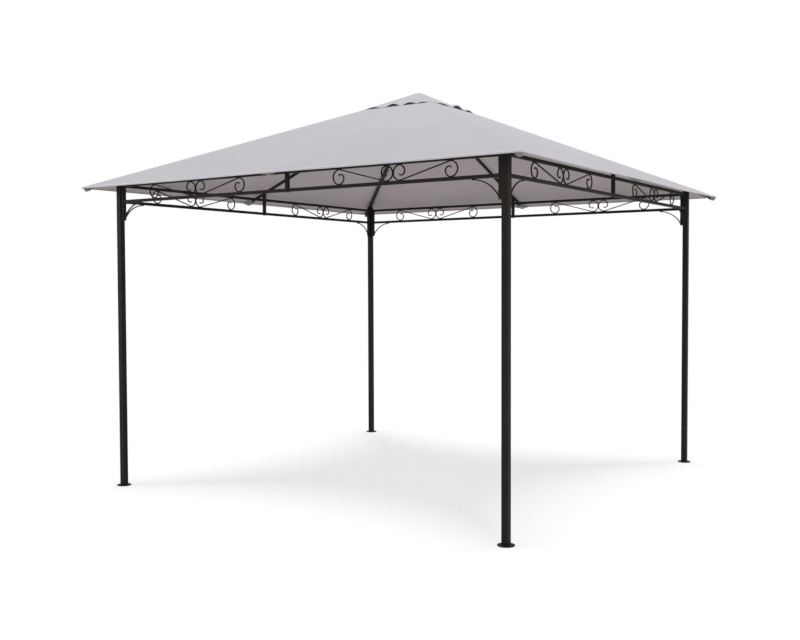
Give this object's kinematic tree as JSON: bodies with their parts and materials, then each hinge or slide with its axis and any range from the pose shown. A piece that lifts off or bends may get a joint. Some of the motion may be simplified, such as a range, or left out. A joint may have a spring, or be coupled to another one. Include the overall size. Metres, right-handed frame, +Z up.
{
  "type": "garden gazebo",
  "caption": "Square garden gazebo: slim dark steel posts on round feet, scrolled rails along each side and a pitched grey cloth canopy with a small raised vent cap.",
  "frame": {"origin": "centre of the plan at the level of the foot plates' undersides", "axes": "+Z up; the sides face along X and Y; -Y is the front, +X the right side"},
  "size_m": [3.0306, 3.0306, 2.5152],
  "materials": {
    "frame_steel": "satin near-black powder coat",
    "canopy_cloth": "matt light grey woven polyester",
    "dark_plastic": "matt black"
  },
  "bodies": {
    "root": {"back_panel_left": "frame_steel", "back_panel_right": "frame_steel", "canopy_back": "canopy_cloth", "canopy_front": "canopy_cloth", "canopy_left": "canopy_cloth", "canopy_right": "canopy_cloth", "cap_support": "dark_plastic", "corner_braces_back_left": "frame_steel", "corner_braces_back_right": "frame_steel", "corner_braces_front_left": "frame_steel", "corner_braces_front_right": "frame_steel", "corner_pockets": "canopy_cloth", "end_uprights_back_left": "frame_steel", "end_uprights_back_right": "frame_steel", "end_uprights_front_left": "frame_steel", "end_uprights_front_right": "frame_steel", "foot_back_left": "frame_steel", "foot_back_right": "frame_steel", "foot_front_left": "frame_steel", "foot_front_right": "frame_steel", "front_panel_left": "frame_steel", "front_panel_right": "frame_steel", "hip_rafter_back_left": "frame_steel", "hip_rafter_back_right": "frame_steel", "hip_rafter_front_left": "frame_steel", "hip_rafter_front_right": "frame_steel", "left_panel_back": "frame_steel", "left_panel_front": "frame_steel", "mid_upright_back": "frame_steel", "mid_upright_front": "frame_steel", "mid_upright_left": "frame_steel", "mid_upright_right": "frame_steel", "post_back_left": "frame_steel", "post_back_right": "frame_steel", "post_front_left": "frame_steel", "post_front_right": "frame_steel", "right_panel_back": "frame_steel", "right_panel_front": "frame_steel", "roof_hub": "frame_steel", "side_pockets": "canopy_cloth", "side_rafter_back": "frame_steel", "side_rafter_front": "frame_steel", "side_rafter_left": "frame_steel", "side_rafter_right": "frame_steel", "vent_cap": "canopy_cloth"}
  },
  "joints": []
}
